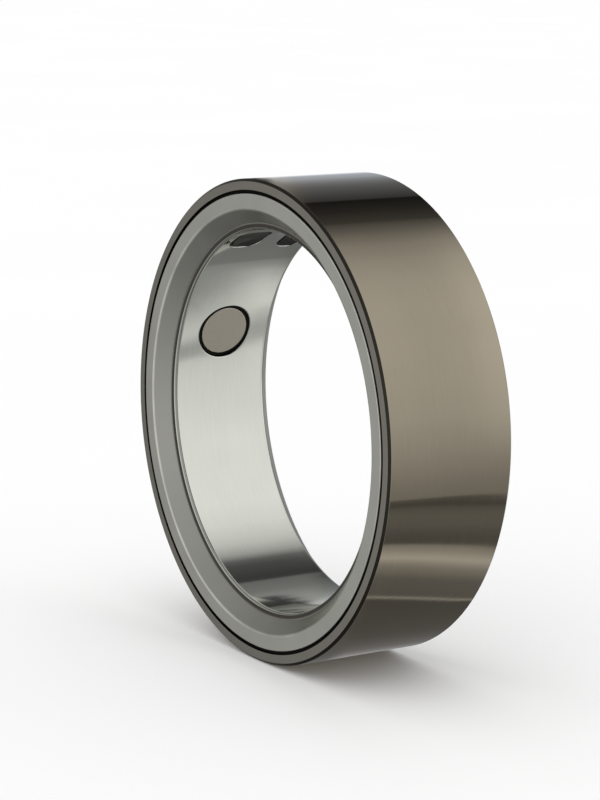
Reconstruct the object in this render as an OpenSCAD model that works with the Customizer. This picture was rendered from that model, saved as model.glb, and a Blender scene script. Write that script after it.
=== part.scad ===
// Smart ring: a polished outer band over a bezelled inner shell, with a curved battery and a
// faceted circuit wrapped round the liner between them.
// The ring stands on its rim. Its axis lies along Y, the front face looks to -Y and Z is up.
// Angles run round the ring from +X towards +Z.

/* [Ring] */
// Diameter of the finger bore
bore_d = 19; // [17:0.5:23]
// Thickness of the ring from the bore to the outside
wall = 2.5; // [2.46:0.02:3]
// Width of the ring along its axis
ring_w = 6.9; // [6.8:0.1:9]
// Gap left between pieces that seat on each other
clearance = 0.01; // [0.005:0.005:0.02]

/* [Outer band] */
// Thickness of the outer band
band_wall = 0.56; // [0.4:0.02:0.6]
// Radial size of the band's outer chamfer
band_chamfer_r = 0.13; // [0.05:0.01:0.2]
// Size of the band's outer chamfer along the axis
band_chamfer_w = 0.11; // [0.05:0.01:0.2]
// Break on the band's inner edges
band_break = 0.03; // [0.01:0.01:0.06]

/* [Seam gasket] */
// Width of the black seam between the band and the bezel
seam_gap = 0.16; // [0.12:0.01:0.2]
// Depth of the gasket below the front face
seam_recess = 0.1; // [0.02:0.01:0.15]
// Depth of the gasket's inner end below the front face
gasket_depth = 1.05; // [0.9:0.05:1.15]
// Height of the rib that keys the gasket into the bezel
gasket_rib_h = 0.15; // [0.1:0.01:0.2]
// Width of that rib along the axis
gasket_rib_w = 0.4; // [0.2:0.05:0.45]
// Depth at which the rib starts
gasket_rib_start = 0.35; // [0.25:0.05:0.4]

/* [Bezel] */
// Radial width of the flat face
face_w = 0.78; // [0.64:0.02:0.86]
// Depth of the flare from the face to the liner's end
flare_depth = 0.72; // [0.6:0.02:0.74]
// Rounding of the lip, where the flare turns into the spigot's bore
lip_round = 0.12; // [0.04:0.01:0.16]
// Thickness behind the flat face
face_t = 0.42; // [0.34:0.02:0.46]
// Thickness of the flared wall
flare_t = 0.4; // [0.34:0.02:0.44]
// Thickness of the skirt that carries the gasket
skirt_t = 0.45; // [0.36:0.01:0.5]
// Thickness of the spigot that grips the liner
spigot_t = 0.35; // [0.25:0.01:0.4]
// Depth of the spigot's end below the face
spigot_depth = 1.15; // [1.05:0.01:1.2]
// Rounding between the flat face and the flare
edge_round = 0.2; // [0.05:0.01:0.25]
// Rounding on the bezel's small edges
rim_round = 0.05; // [0.02:0.01:0.06]

/* [Liner] */
// Thickness of the liner
liner_wall = 0.3; // [0.24:0.01:0.34]
// Rounding of the liner's two inner edges
liner_round = 0.2; // [0.1:0.01:0.24]
// Rounding of its outer edges, as a share of the wall that the inner rounding leaves
liner_break_share = 0.8; // [0.4:0.05:0.9]

/* [Windows] */
// Angle of both windows round the ring
sensor_angle = 115.2; // [105:0.1:120]
// Length of the light window round the ring
led_window_len = 2.2; // [1.9:0.05:2.4]
// Share of the width of both windows that the light window takes
led_window_share = 0.554; // [0.53:0.002:0.57]
// Corner rounding of the light window, as a share of its width
led_window_round_share = 0.36; // [0.2:0.01:0.44]
// Length of the detector window round the ring
detector_window_len = 2.7; // [2.4:0.05:2.9]
// Corner rounding of the detector window, as a share of its width
detector_window_round_share = 0.41; // [0.2:0.01:0.44]
// Distance of each window from the liner's nearer rounded edge
window_land = 0.35; // [0.25:0.01:0.4]
// Bar of the liner between the windows
window_bar = 1.09; // [1:0.01:1.2]
// Width of the black seal round each window
seal_w = 0.12; // [0.08:0.01:0.16]
// Depth of the glass below the wall of the bore
glass_recess = 0.03; // [0.01:0.01:0.06]
// Depth of the seal below the wall of the bore
seal_recess = 0.06; // [0.03:0.01:0.1]

/* [Charging contact] */
// Distance of the contact's hole from the liner's rounded edges
contact_land = 1.02; // [0.95:0.01:1.2]
// Width of the black ring between the disc and the liner
contact_ring_w = 0.19; // [0.14:0.01:0.22]
// Depth of the disc below the wall of the bore
contact_recess = 0.02; // [0.01:0.01:0.06]
// Thickness of the disc
contact_t = 0.24; // [0.16:0.01:0.28]
// Break on the disc's rim
contact_break = 0.04; // [0.02:0.01:0.06]
// Diameter of the stem behind the disc
contact_stem_d = 1.2; // [0.8:0.05:1.5]
// Depth of the black collar round the disc
collar_recess = 0.12; // [0.08:0.01:0.14]
// Overlap of the collar's flange behind the liner
collar_lap = 0.25; // [0.15:0.01:0.3]
// Distance of the flange's back from the liner
collar_flange_t = 0.35; // [0.2:0.01:0.5]

/* [Circuit] */
// Length of each flat island round the ring
island_len = 3.38; // [3.34:0.02:3.7]
// Inner radius of the bends between islands
bend_r = 2.1; // [1.6:0.02:2.4]
// Height of the islands over the liner
sensor_room = 0.68; // [0.62:0.01:0.7]
// Thickness of each rigid layer of an island
rigid_t = 0.1; // [0.08:0.01:0.12]
// Thickness of the flexible layer
flex_t = 0.08; // [0.06:0.01:0.1]
// Depth of the notches at each side of the bends
notch_depth = 0.55; // [0.3:0.05:1]
// Rounding of the notches at the bends
neck_round = 0.1; // [0.05:0.01:0.2]
// Corner rounding of the islands
island_round = 0.3; // [0.1:0.05:0.5]
// Gap between the circuit and the bezels
side_gap = 0.15; // [0.1:0.01:0.2]
// Gap round each package in its pocket
pocket_gap = 0.1; // [0.06:0.01:0.12]
// Gap round the contact in the carrier
contact_gap = 0.05; // [0.03:0.01:0.08]

/* [Optics] */
// Length of the light package round the ring
led_len = 1.5; // [1.2:0.05:1.8]
// Distance of the light package from each long side of its window
led_margin = 0.28; // [0.24:0.01:0.36]
// Height of the light package
led_h = 0.45; // [0.3:0.01:0.5]
// Wall of the light package's cup
led_cup_wall = 0.15; // [0.1:0.01:0.2]
// Depth of the cup
led_cup_depth = 0.2; // [0.15:0.01:0.25]
// Side of each of the three light dies
die_side = 0.26; // [0.2:0.01:0.3]
// Height of the light dies
die_h = 0.1; // [0.06:0.01:0.14]
// Pitch of the light dies round the ring
die_pitch = 0.4; // [0.36:0.01:0.44]
// Length of the photodiode round the ring
photodiode_len = 1.9; // [1.5:0.05:2.1]
// Distance of the photodiode from each long side of its window
photodiode_margin = 0.25; // [0.2:0.01:0.35]
// Height of the photodiode
photodiode_h = 0.35; // [0.25:0.01:0.5]

/* [Packages] */
// Length of the radio and processor chip round the ring
radio_len = 2.3; // [2:0.05:2.35]
// Distance between the radio chip and the capacitors
radio_margin = 0.5; // [0.3:0.05:0.7]
// Height of the radio chip
radio_h = 0.4; // [0.3:0.01:0.45]
// Offset of the radio chip round the ring
radio_shift = -0.5; // [-0.55:0.01:-0.45]
// Side of the optical front-end chip
optical_side = 2.2; // [1.8:0.05:2.6]
// Height of the optical chip
optical_h = 0.45; // [0.3:0.01:0.5]
// Side of the power chip
power_side = 1.9; // [1.6:0.05:2]
// Height of the power chip
power_h = 0.45; // [0.3:0.01:0.48]
// Offset of the power chip round the ring
power_shift = -0.6; // [-0.65:0.01:-0.5]
// Length of the memory chip round the ring
memory_len = 2; // [1.8:0.05:2.1]
// Distance between the memory chip and the capacitors
memory_margin = 0.4; // [0.25:0.05:0.6]
// Height of the memory chip
memory_h = 0.45; // [0.3:0.01:0.48]
// Offset of the memory chip round the ring
memory_shift = -0.6; // [-0.65:0.01:-0.55]
// Side of the motion sensor
motion_side = 2; // [1.8:0.05:2.4]
// Height of the motion sensor
motion_h = 0.5; // [0.4:0.01:0.55]
// Length of the battery guard chip round the ring
guard_len = 1.6; // [1.2:0.05:1.7]
// Width of the guard chip along the axis
guard_w = 1.2; // [0.8:0.05:1.3]
// Height of the guard chip
guard_h = 0.4; // [0.3:0.01:0.5]
// Offset of the guard chip round the ring
guard_shift = -0.3; // [-0.5:0.01:-0.25]
// Length of both crystals round the ring
crystal_len = 0.8; // [0.6:0.05:0.85]
// Width of the radio crystal along the axis
radio_crystal_w = 1.2; // [1:0.05:1.6]
// Width of the clock crystal along the axis
clock_crystal_w = 1.6; // [1.2:0.05:2]
// Height of both crystals
crystal_h = 0.35; // [0.25:0.01:0.45]
// Offset of both crystals round the ring
crystal_shift = 1.2; // [1.15:0.01:1.3]
// Length of the power inductor round the ring
inductor_len = 1; // [0.8:0.02:1.1]
// Width of the power inductor along the axis
inductor_w = 1.6; // [1.2:0.05:2]
// Height of the power inductor
inductor_h = 0.45; // [0.3:0.01:0.48]
// Offset of the power inductor round the ring
inductor_shift = 1.1; // [1.05:0.01:1.15]
// Length of each capacitor round the ring
capacitor_len = 0.6; // [0.4:0.02:0.8]
// Width of each capacitor along the axis
capacitor_w = 0.3; // [0.2:0.01:0.34]
// Height of each capacitor
capacitor_h = 0.3; // [0.2:0.01:0.4]
// Pitch of the capacitors round the ring
capacitor_pitch = 1; // [0.9:0.02:1.2]
// Distance of the capacitors from the island's edge
capacitor_margin = 0.15; // [0.1:0.01:0.2]
// Length of the thermistor round the ring
thermistor_len = 1; // [0.6:0.05:1.2]
// Width of the thermistor along the axis
thermistor_w = 0.5; // [0.3:0.05:0.8]
// Height of the thermistor
thermistor_h = 0.3; // [0.2:0.01:0.35]
// Overhang of the thermal pad round the thermistor
thermal_pad_lap = 0.1; // [0.05:0.01:0.2]

/* [Antenna spring] */
// Length of the spring's foot round the ring
spring_foot = 1.3; // [1:0.05:1.6]
// Length of the spring's arm round the ring
spring_arm = 1; // [0.7:0.05:1.2]
// Width of the spring along the axis
spring_w = 0.9; // [0.6:0.05:1.2]
// Thickness of the spring strip
spring_t = 0.08; // [0.06:0.01:0.1]
// Radius of the nose that touches the band
spring_nose_r = 0.25; // [0.2:0.01:0.28]

/* [Battery] */
// Gap between the battery and the circuit round the ring
battery_gap = 1.2; // [1:0.05:2]
// Gap left for swelling under the band
swell_gap = 0.1; // [0.06:0.01:0.2]
// Rounding of the cell's long edges
cell_round = 0.3; // [0.1:0.01:0.4]
// Thickness of the foam pad under the cell
pad_t = 0.1; // [0.06:0.01:0.15]
// Distance of the pad's edges from the cell's
pad_margin = 0.45; // [0.2:0.01:0.8]
// Length of the thin sealed end of the cell
terrace_len = 1; // [0.6:0.05:1.4]
// Length of the sealed end's root inside the cell
terrace_root = 0.3; // [0.2:0.05:0.5]
// Cover of the sealed end over each face of the tabs
terrace_cover = 0.08; // [0.05:0.01:0.12]
// Distance of the sealed end's edges from the cell's
terrace_margin = 0.2; // [0.1:0.01:0.4]
// Width of each tab along the axis
tab_w = 0.8; // [0.6:0.02:0.9]
// Thickness of each tab
tab_t = 0.08; // [0.05:0.01:0.1]
// Length of each tab that lies on the last island
tab_lap = 0.85; // [0.6:0.01:0.9]
// Distance of the tabs from the cell's edges
tab_margin = 0.65; // [0.4:0.01:0.7]

/* [Hidden] */
$fn = 128;
// Steps of an arc that rounds a corner of a turned profile
corner_steps = 6;

// Radii, from the bore outwards
bore_r = bore_d / 2;
ring_r = bore_r + wall;
band_in_r = ring_r - band_wall;
bezel_r = band_in_r - seam_gap;
face_in_r = bezel_r - face_w;
liner_r = bore_r + liner_wall;
spigot_in_r = liner_r + clearance;
spigot_out_r = spigot_in_r + spigot_t;
skirt_in_r = bezel_r - skirt_t;

// Places along the axis
half_w = ring_w / 2;
liner_end = half_w - flare_depth - clearance;
straight_w = 2 * (liner_end - liner_round);
board_half_w = half_w - spigot_depth - side_gap;

// The windows, one against each end of the liner's straight width, and what looks out of them
windows_w = straight_w - 2 * window_land - window_bar;
led_window_w = led_window_share * windows_w;
led_window_y = (led_window_w - straight_w) / 2 + window_land;
led_w = led_window_w - 2 * led_margin;
detector_window_w = windows_w - led_window_w;
detector_window_y = (straight_w - detector_window_w) / 2 - window_land;
photodiode_w = detector_window_w - 2 * photodiode_margin;

// The contact
contact_hole_r = straight_w / 2 - contact_land;
contact_r = contact_hole_r - contact_ring_w;
collar_flange_r = contact_hole_r + collar_lap;

// The flared wall: its fall for each unit of radius, and its thickness measured along the axis
flare_slope = flare_depth / (face_in_r - spigot_in_r);
flare_drop = flare_t * sqrt(1 + flare_slope * flare_slope);

// Distances of the circuit's layers from the axis, measured at the middle of an island
board_in = liner_r + sensor_room;
flex_in = board_in + rigid_t + clearance;
flex_out = flex_in + flex_t;
board_out = flex_out + clearance + rigid_t;

// The seven islands follow each other round the ring, each turned by one pitch
islands = 7;
antenna_island = 0;
sensor_island = 3;
memory_island = sensor_island - 2;
radio_island = sensor_island - 1;
power_island = sensor_island + 1;
contact_island = sensor_island + 2;
battery_island = islands - 1;
bend_centre = flex_in - bend_r;
island_pitch = 2 * atan(island_len / (2 * bend_centre));
capacitor_row = board_half_w - capacitor_margin - capacitor_w;

// The cell and its tabs
cell_in_r = liner_r + pad_t + 2 * clearance;
cell_out_r = band_in_r - swell_gap;
cell_mid_r = (cell_in_r + cell_out_r) / 2;
tab_in_r = norm([board_out, island_len / 2]);
tab_out_r = tab_in_r + tab_t;
gap_angle = arc_angle(battery_gap, cell_mid_r);
terrace_angle = arc_angle(terrace_len, cell_mid_r);
terrace_start = island_angle(battery_island) + island_pitch / 2 + gap_angle;
cell_start = terrace_start + terrace_angle;
cell_end = island_angle(antenna_island) - island_pitch / 2 - gap_angle + 360;

// Overrun of every cut
overrun = 1;
corner_in_r = bore_r - overrun;

function island_angle(index) = sensor_angle + (index - sensor_island) * island_pitch;

// Angle in degrees that an arc length takes up at a radius
function arc_angle(len, r) = len / r * 180 / PI;

function unit(v) = v / norm(v);

function turned(v, angle) = [
    v[0] * cos(angle) - v[1] * sin(angle),
    v[0] * sin(angle) + v[1] * cos(angle)
];

// The arc of radius r that rounds the corner p between its neighbours a and b
function corner(a, p, b, r) =
    r == 0
    ? [p]
    : let (
        to_a = unit(a - p),
        to_b = unit(b - p),
        half = acos(to_a * to_b) / 2,
        centre = p + unit(to_a + to_b) * r / sin(half),
        spoke = p + to_a * r / tan(half) - centre,
        sweep = cross(to_a, to_b) > 0 ? 2 * half - 180 : 180 - 2 * half
    )
    [for (i = [0:corner_steps]) centre + turned(spoke, sweep * i / corner_steps)];

function flat(p) = [p[0], p[1]];

// A closed path whose points hold x, y and the radius of the corner there
function rounded(path) =
    let (n = len(path))
    [for (i = [0:n - 1])
        each corner(flat(path[(i + n - 1) % n]), flat(path[i]), flat(path[(i + 1) % n]), path[i][2])];

function reversed(path) = [for (i = [len(path) - 1:-1:0]) path[i]];

// Points of an arc about the ring's axis
function arc_points(r, from_angle, to_angle) = [
    for (i = [0:corner_steps])
        let (angle = from_angle + (to_angle - from_angle) * i / corner_steps)
        [r * cos(angle), r * sin(angle)]
];

// One face of the folded circuit: flat at a distance from the axis on each island, with a
// rolled bend of radius r between one island and the next
function folded_path(distance, r) =
    let (
        half = island_pitch / 2,
        first = island_angle(0),
        last = island_angle(islands - 1),
        apex = distance / cos(half),
        square_end = [distance, island_len / 2],
        vertices = [for (i = [0:islands - 2]) turned([apex, 0], island_angle(i) + half)],
        path = concat(
            [turned([square_end[0], -square_end[1]], first)], vertices, [turned(square_end, last)]
        )
    )
    concat(
        [path[0]],
        [for (i = [1:len(path) - 2]) each corner(path[i - 1], path[i], path[i + 1], r)],
        [path[len(path) - 1]]
    );

// Lays a shape built round Z along the ring's axis, with its +Z towards the front face
module around_ring() {
    rotate([90, 0, 0]) children();
}

// Local frame at an angle: X points outwards, Y along the axis and Z round the ring
module at_angle(angle) {
    rotate([0, -angle, 0]) children();
}

// A turned ring from a profile of radius and distance towards the front
module turned_ring(profile) {
    around_ring() rotate_extrude() polygon(profile);
}

// The children, drawn as radius and place on the axis, swept from one angle to another
module sector(from_angle, to_angle) {
    around_ring() rotate([0, 0, from_angle]) rotate_extrude(angle = to_angle - from_angle) children();
}

// A full cylinder round the ring's axis, longer than the ring
module ring_core(r) {
    around_ring() cylinder(r = r, h = ring_w + 2 * overrun, center = true);
}

// A round-cornered rectangle about the origin, from exact squares and circles
module round_rect(size, r) {
    square([size[0] - 2 * r, size[1]], center = true);
    square([size[0], size[1] - 2 * r], center = true);
    for (x = [-1, 1], y = [-1, 1]) {
        translate([x * (size[0] / 2 - r), y * (size[1] / 2 - r)]) circle(r);
    }
}

// The children, drawn as length round the ring and place on the axis, raised along the radius
module column(angle, from_r, to_r) {
    at_angle(angle) translate([from_r, 0, 0]) rotate([0, 90, 0]) linear_extrude(to_r - from_r) children();
}

// A box on an island: places round the ring and on the axis, then length, width and two radii
module island_box(index, shift, y, size, from_r, to_r) {
    column(island_angle(index), from_r, to_r) translate([-shift, y]) square(size, center = true);
}

// A package soldered to an island's outer face
module outer_package(index, shift, y, size, h) {
    island_box(index, shift, y, size, board_out, board_out + h);
}

// A package soldered to an island's inner face
module inner_package(index, shift, y, size, h) {
    island_box(index, shift, y, size, board_in - h, board_in);
}

// A pocket through the carrier round an inner package
module pocket(index, y, size) {
    reach = 2 * pocket_gap;
    island_box(index, 0, y, [size[0] + reach, size[1] + reach], corner_in_r, board_in + overrun);
}

// Polished band of the ring's full width
module outer_band() {
    profile = [
        [band_in_r + band_break, half_w],
        [ring_r - band_chamfer_r, half_w],
        [ring_r, half_w - band_chamfer_w],
        [ring_r, -half_w + band_chamfer_w],
        [ring_r - band_chamfer_r, -half_w],
        [band_in_r + band_break, -half_w],
        [band_in_r, -half_w + band_break],
        [band_in_r, half_w - band_break]
    ];
    color("#8f8575") turned_ring(profile);
}

// Flanged ring with a flat face, a flare down to a rounded lip, a spigot behind the lip that grips
// the liner, and a grooved skirt that carries the gasket
module bezel() {
    rib_end = gasket_rib_start + gasket_rib_w;
    rib_floor_r = bezel_r - gasket_rib_h;
    knee_r = face_in_r - (face_t - flare_drop) / flare_slope;
    root = (face_in_r - spigot_out_r) * flare_slope + flare_drop;
    profile = rounded([
        [bezel_r, half_w, rim_round],
        [bezel_r, half_w - gasket_rib_start, 0],
        [rib_floor_r, half_w - gasket_rib_start, 0],
        [rib_floor_r, half_w - rib_end, 0],
        [bezel_r, half_w - rib_end, 0],
        [bezel_r, half_w - gasket_depth, rim_round],
        [skirt_in_r, half_w - gasket_depth, rim_round],
        [skirt_in_r, half_w - face_t, rim_round],
        [knee_r, half_w - face_t, rim_round],
        [spigot_out_r, half_w - root, rim_round],
        [spigot_out_r, half_w - spigot_depth, rim_round],
        [spigot_in_r, half_w - spigot_depth, rim_round],
        [spigot_in_r, half_w - flare_depth, lip_round],
        [face_in_r, half_w, edge_round]
    ]);
    turned_ring(profile);
}

module front_bezel() {
    color("#8d8f8a") bezel();
}

module rear_bezel() {
    color("#8d8f8a") mirror([0, 1, 0]) bezel();
}

// Black insulating gasket in the seam, keyed into the bezel's groove
module gasket() {
    out_r = band_in_r - clearance;
    in_r = bezel_r + clearance;
    rib_r = bezel_r - gasket_rib_h + clearance;
    rib_start = gasket_rib_start + clearance;
    rib_end = gasket_rib_start + gasket_rib_w - clearance;
    profile = [
        [in_r, half_w - seam_recess],
        [out_r, half_w - seam_recess],
        [out_r, half_w - gasket_depth],
        [in_r, half_w - gasket_depth],
        [in_r, half_w - rib_end],
        [rib_r, half_w - rib_end],
        [rib_r, half_w - rib_start],
        [in_r, half_w - rib_start]
    ];
    turned_ring(profile);
}

module front_gasket() {
    color("#14130f") gasket();
}

module rear_gasket() {
    color("#14130f") mirror([0, 1, 0]) gasket();
}

module led_opening(margin) {
    reach = 2 * margin;
    round_r = led_window_round_share * led_window_w;
    translate([0, led_window_y])
        round_rect([led_window_len - reach, led_window_w - reach], round_r - margin);
}

module detector_opening(margin) {
    reach = 2 * margin;
    round_r = detector_window_round_share * detector_window_w;
    translate([0, detector_window_y])
        round_rect([detector_window_len - reach, detector_window_w - reach], round_r - margin);
}

// Polished sleeve of the bore, cut by two windows and the hole of the contact
module liner() {
    outer_round = liner_break_share * (liner_wall - liner_round);
    profile = rounded([
        [liner_r, liner_end, outer_round],
        [liner_r, -liner_end, outer_round],
        [bore_r, -liner_end, liner_round],
        [bore_r, liner_end, liner_round]
    ]);
    color("#c9c8c0") difference() {
        turned_ring(profile);
        column(sensor_angle, corner_in_r, liner_r + overrun) led_opening(0);
        column(sensor_angle, corner_in_r, liner_r + overrun) detector_opening(0);
        column(island_angle(contact_island), corner_in_r, liner_r + overrun) circle(contact_hole_r);
    }
}

// A pane or seal that fills a window between two radii
module window_layer(in_r) {
    intersection() {
        column(sensor_angle, bore_r - overrun, liner_r + overrun) children();
        difference() {
            ring_core(liner_r - clearance);
            ring_core(in_r);
        }
    }
}

module led_window() {
    color("#2c2a24") window_layer(bore_r + glass_recess) led_opening(seal_w);
}

module detector_window() {
    color("#2c2a24") window_layer(bore_r + glass_recess) detector_opening(seal_w);
}

module led_window_seal() {
    color("#0e0e0d") window_layer(bore_r + seal_recess) difference() {
        led_opening(clearance);
        led_opening(seal_w - clearance);
    }
}

module detector_window_seal() {
    color("#0e0e0d") window_layer(bore_r + seal_recess) difference() {
        detector_opening(clearance);
        detector_opening(seal_w - clearance);
    }
}

// A profile of radius and height turned about the contact's own axis
module at_contact(profile) {
    at_angle(island_angle(contact_island)) rotate([0, 90, 0]) rotate_extrude() polygon(profile);
}

// Flat metal disc with a stem that reaches the circuit
module contact_disc() {
    stem_r = contact_stem_d / 2;
    face = bore_r + contact_recess;
    color("#807a6e") at_contact([
        [0, face],
        [contact_r - contact_break, face],
        [contact_r, face + contact_break],
        [contact_r, face + contact_t],
        [stem_r, face + contact_t],
        [stem_r, board_in],
        [0, board_in]
    ]);
}

// Black insulating bush of the disc, with a flange that seals behind the liner
module contact_collar() {
    out_r = contact_hole_r - clearance;
    seat_r = contact_r + clearance;
    stem_r = contact_stem_d / 2 + clearance;
    face = bore_r + collar_recess;
    seat = bore_r + contact_recess + contact_t + clearance;
    back = liner_r + collar_flange_t;
    color("#100f0d") {
        at_contact([
            [seat_r, face],
            [out_r, face],
            [out_r, back],
            [stem_r, back],
            [stem_r, seat],
            [seat_r, seat]
        ]);
        difference() {
            column(island_angle(contact_island), bore_r, back) difference() {
                circle(collar_flange_r);
                circle(seat_r);
            }
            ring_core(spigot_in_r);
        }
    }
}

// Moulded carrier: round inside on the liner, flat under each island, open under the sensors
module board_carrier() {
    pad_size = [thermistor_len + 2 * thermal_pad_lap, thermistor_w + 2 * thermal_pad_lap];
    start = island_angle(0) - island_pitch / 2;
    end = start + islands * island_pitch;
    apex = (board_in - clearance) / cos(island_pitch / 2);
    outline = concat(
        [for (i = [0:islands]) turned([apex, 0], start + i * island_pitch)],
        [turned([bore_r, 0], end), turned([bore_r, 0], start)]
    );
    color("#2b2d30") difference() {
        rotate([90, 0, 0]) linear_extrude(2 * board_half_w, center = true) polygon(outline);
        ring_core(spigot_in_r);
        pocket(sensor_island, led_window_y, [led_len, led_w]);
        pocket(sensor_island, detector_window_y, [photodiode_len, photodiode_w]);
        pocket(power_island, 0, pad_size);
        column(island_angle(contact_island), corner_in_r, board_in + overrun)
            circle(collar_flange_r + contact_gap);
    }
}

// Flexible layer: flat in the islands, rolled between them and notched to a narrow neck there
module flex_strip() {
    notch = [2 * flex_in * tan(island_pitch / 2) - island_len, 2 * notch_depth];
    color("#b5701f") difference() {
        rotate([90, 0, 0]) linear_extrude(2 * board_half_w, center = true)
            polygon(concat(folded_path(flex_in, bend_r), reversed(folded_path(flex_out, bend_r + flex_t))));
        for (i = [0:islands - 2], y = [-board_half_w, board_half_w]) {
            column(island_angle(i) + island_pitch / 2, bore_r, band_in_r)
                translate([0, y]) round_rect(notch, neck_round);
        }
    }
}

// Rigid layers bonded to both faces of the flexible layer
module island_boards() {
    color("#1f5a3c") for (i = [0:islands - 1], from_r = [board_in, board_out - rigid_t]) {
        column(island_angle(i), from_r, from_r + rigid_t)
            round_rect([island_len, 2 * board_half_w], island_round);
    }
}

// White cup that holds the light dies and opens towards the finger
module led_package() {
    cup = [led_len - 2 * led_cup_wall, led_w - 2 * led_cup_wall];
    face = board_in - led_h;
    color("#e6e4dc") difference() {
        inner_package(sensor_island, 0, led_window_y, [led_len, led_w], led_h);
        island_box(sensor_island, 0, led_window_y, cup, face - overrun, face + led_cup_depth);
    }
}

// Three light dies in a row
module led_dies() {
    floor_r = board_in - led_h + led_cup_depth;
    color("#5fb55a") for (i = [-1, 0, 1]) {
        island_box(sensor_island, i * die_pitch, led_window_y, [die_side, die_side], floor_r - die_h, floor_r);
    }
}

module photodiode() {
    size = [photodiode_len, photodiode_w];
    color("#22262e") inner_package(sensor_island, 0, detector_window_y, size, photodiode_h);
}

module radio_chip() {
    size = [radio_len, 2 * (capacitor_row - radio_margin)];
    color("#1c1c1e") outer_package(radio_island, radio_shift, 0, size, radio_h);
}

module optical_chip() {
    color("#1c1c1e") outer_package(sensor_island, 0, 0, [optical_side, optical_side], optical_h);
}

module power_chip() {
    color("#1c1c1e") outer_package(power_island, power_shift, 0, [power_side, power_side], power_h);
}

module memory_chip() {
    size = [memory_len, 2 * (capacitor_row - memory_margin)];
    color("#1c1c1e") outer_package(memory_island, memory_shift, 0, size, memory_h);
}

module motion_sensor() {
    color("#2a2a2c") outer_package(contact_island, 0, 0, [motion_side, motion_side], motion_h);
}

module guard_chip() {
    color("#1c1c1e") outer_package(battery_island, guard_shift, 0, [guard_len, guard_w], guard_h);
}

module radio_crystal() {
    size = [crystal_len, radio_crystal_w];
    color("#b8b6ae") outer_package(radio_island, crystal_shift, 0, size, crystal_h);
}

module clock_crystal() {
    size = [crystal_len, clock_crystal_w];
    color("#b8b6ae") outer_package(memory_island, crystal_shift, 0, size, crystal_h);
}

module power_inductor() {
    size = [inductor_len, inductor_w];
    color("#4a4846") outer_package(power_island, inductor_shift, 0, size, inductor_h);
}

// Rows of three small capacitors along one edge of the five middle islands
module capacitors() {
    row = capacitor_row + capacitor_w / 2;
    color("#a08a6a") for (i = [memory_island:contact_island], k = [-1, 0, 1]) {
        outer_package(i, k * capacitor_pitch, row, [capacitor_len, capacitor_w], capacitor_h);
    }
}

module thermistor() {
    size = [thermistor_len, thermistor_w];
    color("#3a3630") inner_package(power_island, 0, 0, size, thermistor_h);
}

// Soft pad that carries the liner's warmth to the thermistor
module thermal_pad() {
    size = [thermistor_len + 2 * thermal_pad_lap, thermistor_w + 2 * thermal_pad_lap];
    color("#8fa3b0") difference() {
        island_box(power_island, 0, 0, size, bore_r, board_in - thermistor_h);
        ring_core(spigot_in_r);
    }
}

// Folded clip that joins the circuit to the outer band, drawn as radius and place round the ring
module antenna_spring() {
    nose = band_in_r - clearance - spring_nose_r;
    bend_out = (nose - board_out) / 2;
    fold = spring_arm / 2;
    color("#c2a35a") at_angle(island_angle(antenna_island)) rotate([90, 0, 0])
        linear_extrude(spring_w, center = true) {
            translate([board_out, fold - spring_foot]) square([spring_t, spring_foot]);
            translate([nose - spring_t, -fold]) square([spring_t, spring_arm]);
            translate([nose, 0]) circle(spring_nose_r);
            translate([board_out + bend_out, fold]) difference() {
                circle(bend_out);
                circle(bend_out - spring_t);
                translate([-bend_out - overrun, -bend_out - overrun])
                    square([2 * (bend_out + overrun), bend_out + overrun]);
            }
        }
}

// Curved pouch cell with rounded long edges and a thin sealed end
module battery_cell() {
    thick = cell_out_r - cell_in_r;
    terrace_w = 2 * (board_half_w - terrace_margin);
    terrace_t = tab_t + 2 * terrace_cover;
    color("#9aa0a6") {
        sector(cell_start, cell_end)
            translate([cell_mid_r, 0]) round_rect([thick, 2 * board_half_w], cell_round);
        sector(terrace_start, cell_start + arc_angle(terrace_root, cell_mid_r))
            translate([tab_in_r - terrace_cover, -terrace_w / 2]) square([terrace_t, terrace_w]);
    }
}

// Foam pad that bonds the cell to the liner
module battery_pad() {
    inset = arc_angle(pad_margin, cell_mid_r);
    pad_w = 2 * (board_half_w - pad_margin);
    color("#3f4a42") sector(cell_start + inset, cell_end - inset)
        translate([spigot_in_r, -pad_w / 2]) square([pad_t, pad_w]);
}

// Two metal tabs that lie on the last island and curve round to the cell's sealed end
module battery_tabs() {
    lap_start = island_len / 2 - tab_lap;
    bend = [atan(island_len / 2 / board_out), acos((board_out + tab_t) / tab_out_r)];
    end = terrace_start - island_angle(battery_island);
    middle = board_half_w - tab_margin - tab_w / 2;
    outline = concat(
        [[board_out, lap_start]],
        arc_points(tab_in_r, bend[0], end),
        reversed(arc_points(tab_out_r, bend[1], end)),
        [[board_out + tab_t, lap_start]]
    );
    color("#c9c6bd") for (y = [-middle, middle]) {
        at_angle(island_angle(battery_island)) translate([0, y, 0]) rotate([90, 0, 0])
            linear_extrude(tab_w, center = true) polygon(outline);
    }
}

outer_band();
front_bezel();
rear_bezel();
liner();
front_gasket();
rear_gasket();
contact_disc();
contact_collar();
led_window();
detector_window();
led_window_seal();
detector_window_seal();
board_carrier();
flex_strip();
island_boards();
led_package();
led_dies();
photodiode();
radio_chip();
optical_chip();
power_chip();
memory_chip();
motion_sensor();
guard_chip();
radio_crystal();
clock_crystal();
power_inductor();
capacitors();
thermistor();
thermal_pad();
antenna_spring();
battery_cell();
battery_pad();
battery_tabs();
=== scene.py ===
"""Smart ring, dressed for its photograph.

The ring stands on its rim. Its axis lies along Y, the front face looks to -Y and Z is up. Sizes are
in millimetres and angles run round the axis from +X towards +Z, in degrees.
"""

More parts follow.
